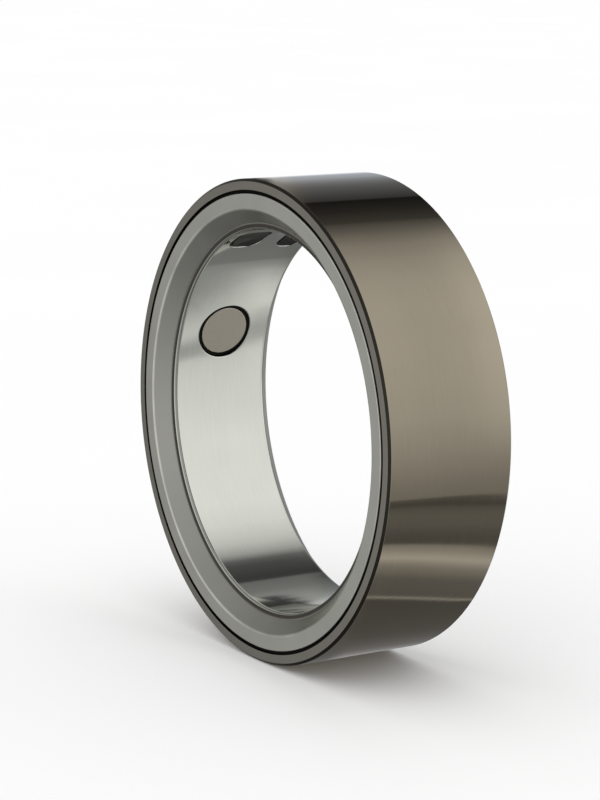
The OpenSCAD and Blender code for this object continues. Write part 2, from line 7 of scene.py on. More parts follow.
import bmesh
import bpy
import numpy as np
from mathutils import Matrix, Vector


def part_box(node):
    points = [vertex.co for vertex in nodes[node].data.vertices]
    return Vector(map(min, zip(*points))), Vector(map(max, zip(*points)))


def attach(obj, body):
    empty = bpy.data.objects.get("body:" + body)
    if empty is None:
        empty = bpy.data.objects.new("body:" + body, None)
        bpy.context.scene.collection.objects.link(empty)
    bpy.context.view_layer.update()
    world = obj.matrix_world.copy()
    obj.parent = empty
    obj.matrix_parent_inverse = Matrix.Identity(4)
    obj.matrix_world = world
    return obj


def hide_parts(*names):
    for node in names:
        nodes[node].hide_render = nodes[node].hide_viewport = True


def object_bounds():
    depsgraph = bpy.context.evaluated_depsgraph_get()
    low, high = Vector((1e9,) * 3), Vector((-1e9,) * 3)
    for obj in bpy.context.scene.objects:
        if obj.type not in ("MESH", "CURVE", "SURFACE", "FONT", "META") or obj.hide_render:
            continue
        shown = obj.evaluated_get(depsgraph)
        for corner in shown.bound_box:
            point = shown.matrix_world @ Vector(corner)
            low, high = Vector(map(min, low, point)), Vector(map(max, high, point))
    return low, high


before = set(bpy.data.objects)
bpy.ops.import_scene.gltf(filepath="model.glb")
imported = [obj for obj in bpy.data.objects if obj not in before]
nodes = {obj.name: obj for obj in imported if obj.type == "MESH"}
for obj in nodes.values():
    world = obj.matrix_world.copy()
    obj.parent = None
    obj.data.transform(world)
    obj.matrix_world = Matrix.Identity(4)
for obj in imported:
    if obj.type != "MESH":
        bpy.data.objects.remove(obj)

cad_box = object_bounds()
MM = 0.001

# --- Camera
# A long lens a little above the ring, seen from its front right, as in the photograph.
camera_place = (110.64, -68.71, 23.59)
camera_looks = (-0.83969, 0.51510, -0.17202)
lens_length = 119.6

camera = bpy.data.objects.new("camera", bpy.data.cameras.new("camera"))
camera.data.sensor_width = 36
camera.data.lens = lens_length
camera.location = Vector(camera_place) * MM
camera.rotation_euler = Vector(camera_looks).to_track_quat("-Z", "Y").to_euler()
camera.data.clip_start = 1 * MM
bpy.context.scene.collection.objects.link(camera)
bpy.context.scene.camera = camera
bpy.context.scene.view_settings.view_transform = "Standard"


# --- Studio
# A white sweep lit evenly from all sides, with one broad soft lamp high on the camera's side. A tent
# of soft boxes and cards stands round the ring's axis, and only polished surfaces see it.
def linear(code):
    """The linear RGBA colour of an sRGB hex code: each part v becomes ((v + 0.055) / 1.055) ** 2.4,
    or v / 12.92 where v is very small."""
    parts = np.array([int(code[i:i + 2], 16) for i in (1, 3, 5)]) / 255
    parts = np.where(parts > 0.04045, ((parts + 0.055) / 1.055) ** 2.4, parts / 12.92)
    return (*parts, 1.0)


def add(tree, kind, sockets=None, **settings):
    """Adds a node, gives it its settings, and fills its sockets with values or links."""
    node = tree.nodes.new(kind)
    for name, value in settings.items():
        setattr(node, name, value)
    for name, value in (sockets or {}).items():
        if isinstance(value, bpy.types.NodeSocket):
            tree.links.new(value, node.inputs[name])
        else:
            node.inputs[name].default_value = value
    return node


def quads(rows, columns, closed=True):
    """Four-sided faces between neighbouring points of a grid whose columns run full circle. Its rows
    close on themselves too where closed is True."""
    index = np.arange(rows * columns).reshape(rows, columns)
    if closed:
        index = np.concatenate([index, index[:1]])
    beside = np.roll(index, -1, axis=1)
    return np.stack([index[:-1], index[1:], beside[1:], beside[:-1]], axis=-1).reshape(-1, 4)


def new_object(name, points, faces, marks=None):
    """An object of those points, in millimetres, and faces. marks are numbers kept at its points."""
    mesh = bpy.data.meshes.new(name)
    mesh.from_pydata(points * MM, [], faces.tolist())
    for mark, values in (marks or {}).items():
        mesh.attributes.new(mark, "FLOAT", "POINT").data.foreach_set("value", values)
    made = bpy.data.objects.new(name, mesh)
    bpy.context.scene.collection.objects.link(made)
    return made


room_light = 0.92
world = bpy.data.worlds.new("white studio")
world.use_nodes = True
bpy.context.scene.world = world
sky = world.node_tree
rays = add(sky, "ShaderNodeLightPath")
plain = add(sky, "ShaderNodeMath", {0: rays.outputs["Is Camera Ray"], 1: rays.outputs["Is Glossy Ray"]})
plain = add(sky, "ShaderNodeMath", {0: plain.outputs[0], 1: rays.outputs["Is Transmission Ray"]},
            use_clamp=True)
level = add(sky, "ShaderNodeMapRange", {"Value": plain.outputs[0], "To Min": room_light, "To Max": 1.0})
sky.nodes["Background"].inputs["Color"].default_value = linear("#ffffff")
sky.links.new(level.outputs[0], sky.nodes["Background"].inputs["Strength"])

lamp_shines = (-0.45, 0.5, -1)
lamp = bpy.data.objects.new("broad soft lamp", bpy.data.lights.new("broad soft lamp", "SUN"))
lamp.data.energy = 0.35
lamp.data.angle = np.radians(50)
lamp.rotation_euler = Vector(lamp_shines).to_track_quat("-Z", "Y").to_euler()
lamp.visible_glossy = False
bpy.context.scene.collection.objects.link(lamp)

floor_reach = 3000
ring_low = cad_box[0].z / MM
corners = np.array([[-1, -1, 0], [1, -1, 0], [1, 1, 0], [-1, 1, 0]]) * floor_reach
floor = new_object("floor", corners + [0, 0, ring_low], np.array([[0, 1, 2, 3]]))
floor.visible_glossy = False

# White painted board: a little grain keeps it from looking like an empty page
board_grain = 40
paint = bpy.data.materials.new("white painted board")
paint.use_nodes = True
tree = paint.node_tree
place = add(tree, "ShaderNodeTexCoord").outputs["Object"]
grain = add(tree, "ShaderNodeTexNoise", {"Vector": place, "Scale": 1 / (board_grain * MM), "Detail": 2.0})
tint = add(tree, "ShaderNodeMix", {0: grain.outputs[0], 6: linear("#fbfbfb"), 7: linear("#ffffff")},
           data_type="RGBA")
shader = tree.nodes["Principled BSDF"]
tree.links.new(tint.outputs[2], shader.inputs["Base Color"])
shader.inputs["Roughness"].default_value = 0.9
shader.inputs["Specular IOR Level"].default_value = 0.0
floor.data.materials.append(paint)

# The tent is a wide tube of cloth round the ring's axis. A place on it is its angle and its rise, which
# is its distance along the axis over the tube's radius. Soft boxes and cards stand behind the cloth.
# Each stop is an angle, how far it leans for each unit of rise, and the glow there, and the glow runs
# evenly between stops. They are in the order in which they stand round the ring.
tent_r = 2000
tent_rise = 5.0
band_stops = np.array([
    # A grey sweep on the left that darkens towards the floor
    (-180, 0, 0.92), (-166, -100, 0.40), (-160, -150, 0.34), (-146, -150, 0.22), (-126, -150, 0.16),
    (-104, -170, 0.15),
    # A thin strip lamp
    (-95.5, -286, 0.15), (-94.3, -286, 0.80), (-93.1, -286, 0.21),
    # A low soft box, brightest at its middle and cut off sharply by a card
    (-80, -230, 0.25), (-72, -230, 0.46), (-70, -225, 0.57), (-65.8, -215, 0.90), (-61, -175, 0.62),
    (-57.6, -161, 0.46),
    # That card, with a weak sheen on it
    (-56.8, -161, 0.17), (-52, -130, 0.18), (-46, -115, 0.25), (-41, -110, 0.26), (-37.5, -110, 0.22),
    (-35.3, -75, 0.14), (-32.6, -40, 0.20),
    # The main soft box, from low on the right to high above
    (-31.9, -40, 0.41), (-25, -20, 0.47), (-10, 0, 0.69), (6, 0, 0.87), (22, 0, 0.95), (37, 0, 1.00),
    (60, 0, 0.99), (72, 0, 0.92), (85, 0, 0.76), (95, 0, 0.57), (105, 0, 0.28), (110.5, 0, 0.15),
    # A black card over the top
    (111.5, 0, 0.10), (120, 0, 0.05), (130.6, 0, 0.02),
    # A cool sweep behind it
    (131.4, 0, 0.09), (147.7, 0, 0.24), (154, 0, 0.34), (160, 0, 0.48), (164, 0, 0.59), (172, 0, 0.61),
    (180, 0, 0.92),
]).T
bore_stops = np.array([
    # The same sweep, as the bore sees it
    (-180, 0, 0.30), (-165, 0, 0.19), (-145, 0, 0.16), (-127, 0, 0.18), (-106, -60, 0.21),
    # The low soft box, seen almost along its length
    (-104.8, -100, 0.28), (-99, -130, 0.31), (-85, -630, 0.42), (-79.5, -767, 0.50), (-71, -800, 0.60),
    (-58, -600, 0.72), (-55, -500, 0.66),
    # Its card
    (-52, -420, 0.50), (-47, -394, 0.40), (-41, -330, 0.44), (-37.5, -260, 0.54),
    # The main soft box
    (-35.5, -242, 0.70), (-30, -150, 0.76), (-20, -60, 0.81), (-3, 0, 0.87), (20, 0, 0.95),
    (60, 0, 0.97), (75, 0, 0.89), (85, 0, 0.76), (90, 0, 0.67), (98, 0, 0.42), (103.5, 0, 0.13),
    # The black card over the top
    (108, 0, 0.08), (120, 0, 0.05), (123.2, 0, 0.06),
    # The sweep behind it
    (124.2, 0, 0.17), (135, 0, 0.21), (150, 0, 0.36), (165, 0, 0.38), (180, 0, 0.30),
]).T


def leaning(stops, middle, below, above):
    """The glow of leaning stops at every place of the tent: each place is first moved back by its lean
    times its rise from middle, held between -below and above, and then read off between the stops."""
    angles, leans, glows = stops
    moved = angle - np.interp(angle, angles, leans) * np.clip(rise - middle, -below, above)
    return np.interp(moved, angles, glows)


def toward(side, power):
    """How far each place of the tent lies towards an angle: (0.5 + 0.5 * cos of the angle between) to
    a power, so 1 on that side and 0 opposite it."""
    return (0.5 + 0.5 * np.cos(np.radians(angle - side))) ** power


angle_steps = np.arange(-180, 180, 0.5)
rise_steps = np.concatenate([np.arange(-tent_rise, -0.4, 0.1), np.arange(-0.4, 0.48, 0.04),
                             np.arange(0.48, 0.74, 0.005), np.linspace(0.76, tent_rise, 28)])
rise, angle = np.meshgrid(rise_steps, angle_steps, indexing="ij")

# In front of the ring: dim cloth that pales towards the tent's open end, one broad light on the left
# and another on the right, which is strongest beside the ring and weaker below a thin card
front_rises = [-2.5, -1.7, -1.0, -0.5, -0.1, 0.15, 0.5]
dim = np.interp(rise, front_rises, [0.67, 0.48, 0.32, 0.13, 0.05, 0, 0])
left = np.interp(rise, front_rises, [0.27, 0.61, 0.42, 0.24, 0.14, 0.24, 0.22])
right = np.interp(rise, front_rises, [0.06, 0.08, 0.11, 0.17, 0.38, 0.79, 0.93])
right = right * np.interp(angle, [-55, -28], [0.64, 1])
front = dim + left * toward(178, 3.3) + right * toward(35, 1.4)

# For the bore: its stops, an oval black card low behind the ring, and more light near the far end
oval_angle, oval_rise, oval_tilt = 161, 0.58, 0.0004
oval = np.hypot((angle - oval_angle) / 20, (rise - oval_rise - oval_tilt * (angle - oval_angle)) / 0.0125)
bore = leaning(bore_stops, 0.575, 0.035, 0.015) * np.interp(oval, [0.85, 1.0], [0.07, 1.0])
far = np.interp(angle, [-104, -95, -80, -70, -57, -34, -12, 0], [0, 0.4, 0.25, 0.2, 0.12, 0.15, 0.06, 0])
bore = bore * (1 + far * np.interp(rise, [0.57, 0.588], [0, 1]))

# For the band: its stops, and along the main soft box more light on the far side
across = rise - np.interp(angle, [45, 100, 115], [0.677, 0.658, 0.651])
spread = np.interp(across, [-0.026, -0.013, 0, 0.013, 0.026], [-0.02, -0.065, -0.06, -0.015, 0.14])
on_main = np.interp(angle, [-20, 0, 100, 112], [0, 1, 1, 0])
band = leaning(band_stops, 0.66, 0.06, 0.06) * (1 + spread * on_main)

# Behind the ring: the main soft box again, wider and softer, for the liner's far end
behind = np.interp(angle, [-180, -150, -98, -80, -60, -52, -35, 5, 45, 65, 85, 105, 142, 180],
                   [0.35, 0.35, 0.2, 0.25, 0.35, 0.65, 0.75, 0.85, 0.92, 0.85, 0.6, 0.35, 0.25, 0.35])

# The four parts follow each other along the axis, with a narrow blend at each border
border = np.interp(np.abs(angle), [60, 100, 130, 150, 165, 180], [0.61, 0.606, 0.604, 0.6, 0.594, 0.588])
glow = front + (bore - front) * np.interp(rise, [0.49, 0.515], [0, 1])
glow = glow + (band - glow) * np.interp(rise - border, [-0.004, 0.004], [0, 1])
glow = glow + (behind - glow) * np.interp(rise, [0.725, 0.775], [0, 1])
cool = np.interp(rise - border, [0.004, 0.012], [0, 1]) * np.interp(angle, [130.6, 131.4], [0, 1])
turn = np.radians(angle)
tube = np.stack([np.cos(turn), rise, np.sin(turn)], -1).reshape(-1, 3) * tent_r
tent = new_object("tent of soft boxes", tube, quads(len(rise_steps), len(angle_steps), closed=False),
                  {"glow": glow.ravel(), "cool": cool.ravel()})
tent.visible_camera = False
tent.visible_diffuse = False
tent.visible_transmission = False
tent.visible_shadow = False

# Lit diffusion cloth: glows as the box or card behind it says, and is faintly cool in one sweep
cloth = bpy.data.materials.new("lit diffusion cloth")
cloth.use_nodes = True
cloth.cycles.emission_sampling = "NONE"
tree = cloth.node_tree
tree.nodes.remove(tree.nodes["Principled BSDF"])
strength = add(tree, "ShaderNodeAttribute", attribute_name="glow")
coolness = add(tree, "ShaderNodeAttribute", attribute_name="cool")
tone = add(tree, "ShaderNodeMix", {0: coolness.outputs["Fac"], 6: linear("#ffffff"),
                                   7: linear("#ecf3ff")}, data_type="RGBA")
light = add(tree, "ShaderNodeEmission", {"Color": tone.outputs[2], "Strength": strength.outputs["Fac"]})
tree.links.new(light.outputs[0], tree.nodes["Material Output"].inputs["Surface"])
tent.data.materials.append(cloth)


# --- Outer band
# One turned titanium band of the ring's full width, polished and then coated a warm grey in a vacuum
# chamber. A fine chamfer breaks each outer edge, and the band is pressed over the seam gaskets.
def rounded(corners, steps=6, hold=0.012):
    """A closed outline whose corners are (radius, place, rounding). Each becomes an arc: its centre
    plus rounding * (cos, sin), swept between the points where it meets its two sides, with one more
    point just beyond each that keeps the side flat. The last column is 1 on arcs and 0 beside them."""
    corners = np.array(corners, float)
    corner, rounding = corners[:, :2], corners[:, 2:]
    before = np.roll(corner, 1, axis=0) - corner
    after = np.roll(corner, -1, axis=0) - corner
    before /= np.linalg.norm(before, axis=1, keepdims=True)
    after /= np.linalg.norm(after, axis=1, keepdims=True)
    half = np.arccos((before * after).sum(axis=1, keepdims=True)) / 2
    reach = rounding / np.tan(half)
    middle = before + after
    middle *= rounding / np.sin(half) / np.linalg.norm(middle, axis=1, keepdims=True)
    start, end = before * reach - middle, after * reach - middle
    start_angle = np.arctan2(start[:, 1:], start[:, :1])
    turn = (np.arctan2(end[:, 1:], end[:, :1]) - start_angle + np.pi) % (2 * np.pi) - np.pi
    angle = start_angle + turn * np.linspace(0, 1, steps + 1)
    arc = (corner + middle)[:, None] + rounding[:, None] * np.stack([np.cos(angle), np.sin(angle)], -1)
    sides = [(corner + side * (reach + hold))[:, None] for side in (before, after)]
    outline = np.concatenate([sides[0], arc, sides[1]], axis=1)
    edge = np.ones(outline.shape[:2] + (1,))
    edge[:, [0, -1]] = 0
    return np.concatenate([outline, edge], axis=-1).reshape(-1, 3)


def turned(outline, axes=np.eye(3), columns=360, closed=True):
    """Carries an outline of (radius, place, edge) round an axis: at each angle a its points lie at
    radius * cos a, place and radius * sin a along the three axes. Gives points, faces and edge. An
    open outline starts and ends on the axis."""
    angle = np.radians(np.arange(columns) * 360 / columns)
    radius, place, edge = outline.T[:, :, None]
    local = np.stack([radius * np.cos(angle), place + 0 * angle, radius * np.sin(angle)], axis=-1)
    return local.reshape(-1, 3) @ axes, quads(len(outline), columns, closed), (edge + 0 * angle).ravel()


def seat(name, skins, finish, slot, *replaced):
    """Makes one closed piece from skins of (points, faces, edge), joined where they meet, and seats it
    on the ring in place of the nodes that it replaces."""
    firsts = np.cumsum([0] + [len(points) for points, _, _ in skins[:-1]])
    made = new_object(name, np.concatenate([points for points, _, _ in skins]),
                      np.concatenate([faces + first for (_, faces, _), first in zip(skins, firsts)]),
                      {"edge": np.concatenate([edge for _, _, edge in skins])})
    whole = bmesh.new()
    whole.from_mesh(made.data)
    bmesh.ops.remove_doubles(whole, verts=whole.verts, dist=0.0002 * MM)
    bmesh.ops.dissolve_degenerate(whole, edges=whole.edges, dist=0.0001 * MM)
    bmesh.ops.recalc_face_normals(whole, faces=whole.faces)
    whole.to_mesh(made.data)
    whole.free()
    made.data.shade_smooth()
    made.data.materials.append(finish)
    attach(made, "root")
    if replaced:
        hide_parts(*replaced)
    return made


def worked_metal(name, colour, worn, rough, marks, depth, draw=(1, 1, 1), blotch=3.0):
    """Metal with fine working marks. The marks are a noise of that size in millimetres, drawn out by
    draw along each axis, and depth is the height of their bump. Roughness drifts between the two
    values of rough in soft blotches. The worn colour shows through, unevenly, on rounded edges."""
    metal = bpy.data.materials.new(name)
    metal.use_nodes = True
    tree = metal.node_tree
    place = add(tree, "ShaderNodeTexCoord").outputs["Object"]
    along = add(tree, "ShaderNodeMapping", {"Vector": place, "Scale": draw})
    lines = add(tree, "ShaderNodeTexNoise", {"Vector": along.outputs[0], "Scale": 1 / (marks * MM),
                                             "Detail": 3.0, "Roughness": 0.6})
    soft = add(tree, "ShaderNodeTexNoise", {"Vector": place, "Scale": 1 / (blotch * MM), "Detail": 4.0})
    both = add(tree, "ShaderNodeMath", {0: lines.outputs[0], 1: soft.outputs[0]}, operation="ADD")
    dulls = add(tree, "ShaderNodeMapRange", {"Value": both.outputs[0], "From Min": 0.7, "From Max": 1.3,
                                             "To Min": rough[0], "To Max": rough[1]})
    rim = add(tree, "ShaderNodeAttribute", attribute_name="edge")
    rubbed = add(tree, "ShaderNodeMapRange", {"Value": soft.outputs[0], "From Min": 0.35,
                                              "From Max": 0.7})
    wear = add(tree, "ShaderNodeMath", {0: rim.outputs["Fac"], 1: rubbed.outputs[0]},
               operation="MULTIPLY")
    drift = add(tree, "ShaderNodeHueSaturation", {"Color": linear(colour)})
    light = add(tree, "ShaderNodeMapRange", {"Value": both.outputs[0], "From Min": 0.7, "From Max": 1.3,
                                             "To Min": 0.97, "To Max": 1.03})
    tree.links.new(light.outputs[0], drift.inputs["Value"])
    coat = add(tree, "ShaderNodeMix", {0: wear.outputs[0], 6: drift.outputs[0], 7: linear(worn)},
               data_type="RGBA")
    bump = add(tree, "ShaderNodeBump", {"Height": lines.outputs[0], "Distance": depth * MM})
    shader = tree.nodes["Principled BSDF"]
    shader.inputs["Metallic"].default_value = 1.0
    tree.links.new(coat.outputs[2], shader.inputs["Base Color"])
    tree.links.new(dulls.outputs[0], shader.inputs["Roughness"])
    tree.links.new(bump.outputs[0], shader.inputs["Normal"])
    return metal


_, band_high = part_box("outer_band")
ring_r = band_high.x / MM
half_w = band_high.y / MM
band_wall = 0.56
band_in_r = ring_r - band_wall
band_chamfer_r = 0.13
band_chamfer_w = 0.11
band_break = 0.03
crisp = 0.02

band_half = [
    (band_in_r, half_w, band_break),
    (ring_r - band_chamfer_r, half_w, crisp),
    (ring_r, half_w - band_chamfer_w, crisp),
]
band_outline = rounded(band_half + [(r, -place, round_r) for r, place, round_r in band_half[::-1]])

# Polished titanium under a vacuum coat: a warm grey mirror, with faint marks running round it and a
# little bare metal showing on its edges. The real marks are too fine to see and are drawn coarser.
band_metal = worked_metal("polished coated titanium", "#9d9483", "#b7b2a6", (0.025, 0.06), 0.07, 0.00004,
                          draw=(0.04, 1, 0.04), blotch=4.0)
outer_band = seat("outer_band_polished", [turned(band_outline)], band_metal, "band_metal", "outer_band")

# The end faces are turned, and the thinner coat there is greyer. The chamfers are painted a dark grey,
# which is painted shade for the dark line that they show.
face_metal = worked_metal("turned coated titanium", "#98958b", "#b7b2a6", (0.08, 0.14), 0.07, 0.0001,
                          draw=(0.05, 1, 0.05), blotch=4.0)
chamfer_shade_metal = worked_metal("chamfer painted shade", "#3b3933", "#5a564d", (0.14, 0.22), 0.05, 0.0001)
outer_band.data.materials.append(face_metal)
outer_band.data.materials.append(chamfer_shade_metal)
# End faces get the turned finish and the chamfers the painted shade, by how far each face turns to the
# axis
facing = np.zeros(3 * len(outer_band.data.polygons))
outer_band.data.polygons.foreach_get("normal", facing)
tilt = np.abs(facing.reshape(-1, 3)[:, 1])
is_face, is_shaded_chamfer = tilt > 0.97, tilt > 0.3
outer_band.data.polygons.foreach_set("material_index", np.select([is_face, is_shaded_chamfer], [1, 2], 0))

# --- Bezels
# Two turned titanium end rings, blasted to a soft grey. Each has a flat face, a flare that leads the
# finger in down to a rounded lip, a spigot that grips the liner and a grooved skirt for the gasket.
seam_gap = 0.16
bezel_r = band_in_r - seam_gap
face_w = 0.78
face_in_r = bezel_r - face_w
flare_depth = 0.72
lip_round = 0.12
face_t = 0.42
skirt_t = 0.45
skirt_depth = 1.05
groove_depth = 0.15
groove_start = 0.35
groove_end = 0.75
spigot_in_r = 9.81
spigot_out_r = 10.16
spigot_depth = 1.15
flare_back = 0.578
edge_round = 0.2
rim_round = 0.05
hair = 0.005

flare_slope = flare_depth / (face_in_r - spigot_in_r)
knee_r = face_in_r - (face_t - flare_back) / flare_slope
flare_root = (face_in_r - spigot_out_r) * flare_slope + flare_back
bezel_depths = [
    (bezel_r, 0, rim_round),
    (bezel_r, groove_start, hair),
    (bezel_r - groove_depth, groove_start, hair),
    (bezel_r - groove_depth, groove_end, hair),
    (bezel_r, groove_end, hair),
    (bezel_r, skirt_depth, rim_round),
    (bezel_r - skirt_t, skirt_depth, rim_round),
    (bezel_r - skirt_t, face_t, rim_round),
    (knee_r, face_t, rim_round),
    (spigot_out_r, flare_root, rim_round),
    (spigot_out_r, spigot_depth, rim_round),
    (spigot_in_r, spigot_depth, rim_round),
    (spigot_in_r, flare_depth, lip_round),
    (face_in_r, 0, edge_round),
]

# Blasted titanium: a soft even grey with a fine bead grain, a touch brighter where edges are rubbed
bezel_metal = worked_metal("blasted titanium", "#c3c3bb", "#d8d8d0", (0.30, 0.40), 0.05, 0.0012,
                           blotch=2.0)
for name, node, side in (("front_bezel_blasted", "front_bezel", -1),
                         ("rear_bezel_blasted", "rear_bezel", 1)):
    outline = rounded([(r, side * (half_w - depth), round_r) for r, depth, round_r in bezel_depths],
                      hold=0.004)
    seat(name, [turned(outline)], bezel_metal, "bezel_metal", node)

# --- Seam gaskets
# Black filled epoxy run into the gap between the band and each bezel. It keys into the bezel's groove,
# seals the ring and keeps the outer band apart from the inner shell, so that it can be the aerial.
gasket_recess = 0.1
gasket_sag = 0.08
fit_gap = 0.01


def moulded(name, dark, light, rough, grain, depth, blotch=1.5, shine=0.5):
    """Cast or moulded stuff that isn't metal: two near colours mixed in soft blotches, a grain of that
    size in millimetres as bump, and a roughness that drifts between the two values of rough. shine is
    how strongly it mirrors, and 0.5 is plain plastic."""
    stuff = bpy.data.materials.new(name)
    stuff.use_nodes = True
    tree = stuff.node_tree
    place = add(tree, "ShaderNodeTexCoord").outputs["Object"]
    fine = add(tree, "ShaderNodeTexNoise", {"Vector": place, "Scale": 1 / (grain * MM), "Detail": 4.0})
    soft = add(tree, "ShaderNodeTexNoise", {"Vector": place, "Scale": 1 / (blotch * MM), "Detail": 3.0})
    tint = add(tree, "ShaderNodeMix", {0: soft.outputs[0], 6: linear(dark), 7: linear(light)},
               data_type="RGBA")
    dulls = add(tree, "ShaderNodeMapRange", {"Value": fine.outputs[0], "From Min": 0.35, "From Max": 0.65,
                                             "To Min": rough[0], "To Max": rough[1]})
    bump = add(tree, "ShaderNodeBump", {"Height": fine.outputs[0], "Distance": depth * MM})
    shader = tree.nodes["Principled BSDF"]
    shader.inputs["Specular IOR Level"].default_value = shine
    tree.links.new(tint.outputs[2], shader.inputs["Base Color"])
    tree.links.new(dulls.outputs[0], shader.inputs["Roughness"])
    tree.links.new(bump.outputs[0], shader.inputs["Normal"])
    return stuff


gasket_out_r = band_in_r - fit_gap
gasket_in_r = bezel_r + fit_gap
gasket_mid_r = (gasket_in_r + gasket_out_r) / 2
gasket_depths = [
    (gasket_mid_r, gasket_recess + gasket_sag, 0.04),
    (gasket_out_r, gasket_recess, hair),
    (gasket_out_r, skirt_depth, hair),
    (gasket_in_r, skirt_depth, hair),
    (gasket_in_r, groove_end - fit_gap, hair),
    (bezel_r - groove_depth + fit_gap, groove_end - fit_gap, hair),
    (bezel_r - groove_depth + fit_gap, groove_start + fit_gap, hair),
    (gasket_in_r, groove_start + fit_gap, hair),
    (gasket_in_r, gasket_recess, hair),
]

# Filled epoxy: near black, with a dull satin skin where it was wiped back
seam_black = moulded("wiped black epoxy", "#040403", "#090807", (0.55, 0.75), 0.04, 0.002, shine=0.12)
for name, node, side in (("front_gasket_cast", "front_gasket", -1),
                         ("rear_gasket_cast", "rear_gasket", 1)):
    outline = rounded([(r, side * (half_w - depth), round_r) for r, depth, round_r in gasket_depths],
                      hold=0.003)
    seat(name, [turned(outline)], seam_black, "black_seal", node)

# --- Liner
# A thin titanium sleeve, polished inside, that forms the bore. Three openings are cut through it with
# a fine broken edge: two windows at the top and the round hole of the charging contact.
_, liner_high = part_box("liner")
liner_out_r = liner_high.x / MM
liner_end = liner_high.y / MM
liner_wall = 0.3
bore_r = liner_out_r - liner_wall
liner_round = 0.2
liner_break = 0.08
straight = liner_end - liner_round
opening_break = 0.035
sensor_angle = 115.2
contact_angle = 160.232
led_window = dict(angle=sensor_angle, y=-1.26975, length=2.2, width=1.8005, corner=0.648)
detector_window = dict(angle=sensor_angle, y=1.44525, length=2.7, width=1.4495, corner=0.594)
contact_hole = dict(angle=contact_angle, y=0.0, length=3.0, width=3.0, corner=1.5)
window_parting = 0.175


def opening_rim(opening, ways, inset):
    """Where rays that leave the middle of a round-cornered opening, towards ways, cross its outline
    drawn in by inset: on a straight side where the ray meets it short of the corner's centre, and
    otherwise on the corner's circle."""
    half = np.array([opening["length"], opening["width"]]) / 2 - inset
    corner = opening["corner"] - inset
    ways = ways / np.linalg.norm(ways, axis=-1, keepdims=True)
    lean = np.abs(ways)
    straight_hit = lean * np.min(half / np.maximum(lean, 1e-9), axis=-1, keepdims=True)
    centre = half - corner
    along = (lean * centre).sum(axis=-1, keepdims=True)
    rest = corner ** 2 - (centre ** 2).sum() + along ** 2
    round_hit = lean * (along + np.sqrt(np.maximum(rest, 0)))
    in_corner = (straight_hit > centre).all(axis=-1, keepdims=True)
    return np.where(in_corner, round_hit, straight_hit) * np.sign(ways)


def round_the_bore(opening, flat, radius):
    """Puts points, given as length round the ring and place from an opening's middle, at a distance
    from the axis: a length t lies at the opening's angle plus the arc sine of t / radius."""
    angle = np.radians(opening["angle"]) + np.arcsin(flat[..., 0] / radius)
    y = opening["y"] + flat[..., 1]
    return np.stack([radius * np.cos(angle), y, radius * np.sin(angle)], axis=-1)


def cut_panel(opening, angles, places):
    """The liner between two of its grid's angles and places, with one opening cut through. Its skin
    runs from the panel's border over the broken edge of the opening, through the wall, and back to
    the border on the outside."""
    low = np.stack([angles, np.full(len(angles), places[0])], -1)[:-1]
    right = np.stack([np.full(len(places), angles[-1]), places], -1)[:-1]
    high = np.stack([angles[::-1], np.full(len(angles), places[-1])], -1)[:-1]
    left = np.stack([np.full(len(places), angles[0]), places[::-1]], -1)[:-1]
    border = np.concatenate([low, right, high, left]) - [opening["angle"], opening["y"]]
    turn, aside = np.radians(border[:, 0]), border[:, 1]

    def border_at(radius):
        return np.stack([radius * np.sin(turn), aside], axis=-1)

    ways = border_at(bore_r)
    bend = np.linspace(0, np.pi / 2, 6)
    rows, edge = [], []
    for mix in (0, 0.25, 0.5, 0.72, 0.88, 0.97):
        rim = opening_rim(opening, ways, -opening_break)
        rows.append(round_the_bore(opening, ways * (1 - mix) + rim * mix, bore_r))
        edge.append(0)
    for angle in bend:
        rim = opening_rim(opening, ways, -opening_break * (1 - np.sin(angle)))
        rows.append(round_the_bore(opening, rim, bore_r + opening_break * (1 - np.cos(angle))))
        edge.append(1)
    for depth in (opening_break + 0.01, liner_wall - hair):
        rows.append(round_the_bore(opening, opening_rim(opening, ways, 0), bore_r + depth))
        edge.append(0)
    for mix in (0.99, 0.5, 0):
        back = border_at(liner_out_r)
        rim = opening_rim(opening, ways, 0)
        rows.append(round_the_bore(opening, back * (1 - mix) + rim * mix, liner_out_r))
        edge.append(0)
    return (np.concatenate(rows), quads(len(rows), len(border), closed=False),
            np.repeat(np.array(edge, float), len(border)))


liner_columns = 360
column_angles = sensor_angle + np.arange(liner_columns + 1)
end_hold = 0.012
place_rows = np.concatenate([[-straight], np.linspace(end_hold - straight, window_parting, 10),
                             np.linspace(window_parting, straight - end_hold, 9)[1:], [straight]])
parting_row = int(np.argmin(np.abs(place_rows - window_parting)))
last_row = len(place_rows) - 1
contact_column = int(round(contact_angle - sensor_angle))
window_reach, hole_reach = 11, 13
cuts = [
    (led_window, (-window_reach, window_reach), (1, parting_row)),
    (detector_window, (-window_reach, window_reach), (parting_row, last_row - 1)),
    (contact_hole, (contact_column - hole_reach, contact_column + hole_reach), (1, last_row - 1)),
]

# The uncut grid, inside and outside, without the cells that the three panels take up
kept = np.ones((liner_columns, last_row), bool)
for _, (from_column, to_column), (from_row, to_row) in cuts:
    kept[np.arange(from_column, to_column) % liner_columns, from_row:to_row] = False
index = np.arange((liner_columns + 1) * len(place_rows)).reshape(liner_columns + 1, -1)
cells = np.stack([index[:-1, :-1], index[1:, :-1], index[1:, 1:], index[:-1, 1:]], -1)[kept]
turn = np.radians(column_angles)[:, None] + 0 * place_rows
place_grid = place_rows + 0 * turn
skins = [cut_panel(opening, sensor_angle + np.arange(columns[0], columns[1] + 1),
                   place_rows[rows[0]:rows[1] + 1])
         for opening, columns, rows in cuts]
for radius in (bore_r, liner_out_r):
    grid = np.stack([radius * np.cos(turn), place_grid, radius * np.sin(turn)], -1).reshape(-1, 3)
    skins.append((grid, cells, np.zeros(len(grid))))

